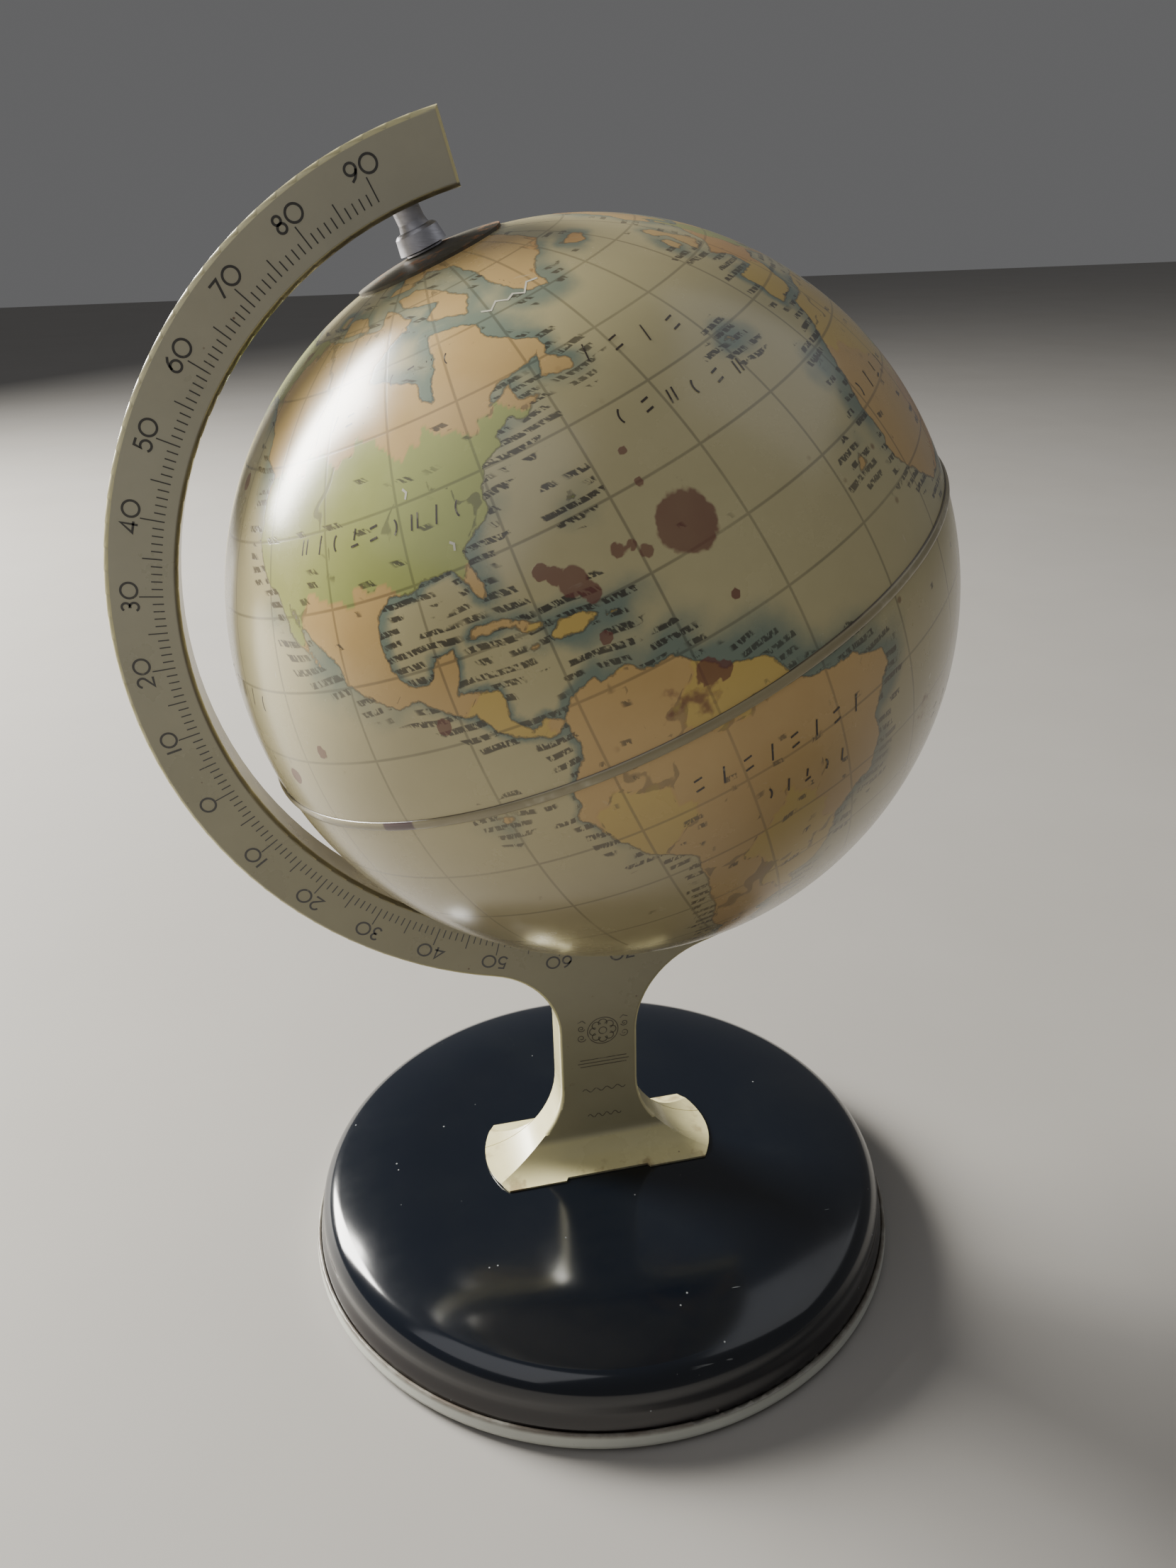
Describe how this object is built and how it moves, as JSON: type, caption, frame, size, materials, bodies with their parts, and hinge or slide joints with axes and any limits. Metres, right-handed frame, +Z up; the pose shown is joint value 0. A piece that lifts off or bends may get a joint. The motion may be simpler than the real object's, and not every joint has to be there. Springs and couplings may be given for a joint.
{
  "type": "desk globe on stand",
  "caption": "Terrestrial globe of pressed tin spinning on a tilted axle, held by a curved degree-scale arm with stem and foot on a round drum base.",
  "frame": {"origin": "centre of the base's flat underside", "axes": "+Z up; the printed face of the arm looks towards -Y; the arm curves round the globe's -X side"},
  "size_m": [0.1739, 0.1532, 0.2634],
  "materials": {
    "base_black": "high gloss black enamel",
    "rim_cream": "gloss off-white enamel",
    "stand_cream": "aged cream lacquer, gloss",
    "map_tin": "printed tin under yellowed varnish",
    "pivot_metal": "dull plated",
    "pole_disc": "plated, rust at the edge",
    "steel": "bright wire"
  },
  "bodies": {
    "stand": {"base_drum": "base_black", "base_plate": "rim_cream", "stand_front_shell": "stand_cream", "stand_rear_shell": "stand_cream", "axle": "steel", "north_bush": "pivot_metal", "south_bush": "pivot_metal", "north_clip": "steel", "south_clip": "steel"},
    "globe": {"globe_north_half": "map_tin", "globe_south_half": "map_tin", "north_pole_disc": "pole_disc", "south_pole_disc": "pole_disc", "north_eyelet": "pivot_metal", "south_eyelet": "pivot_metal"}
  },
  "joints": [
    {"name": "globe_spin", "type": "hinge", "parent": "stand", "child": "globe", "pos_m": [0.0015, 0, 0.1694], "axis": [-0.3979, 0, 0.9174], "continuous": true}
  ]
}
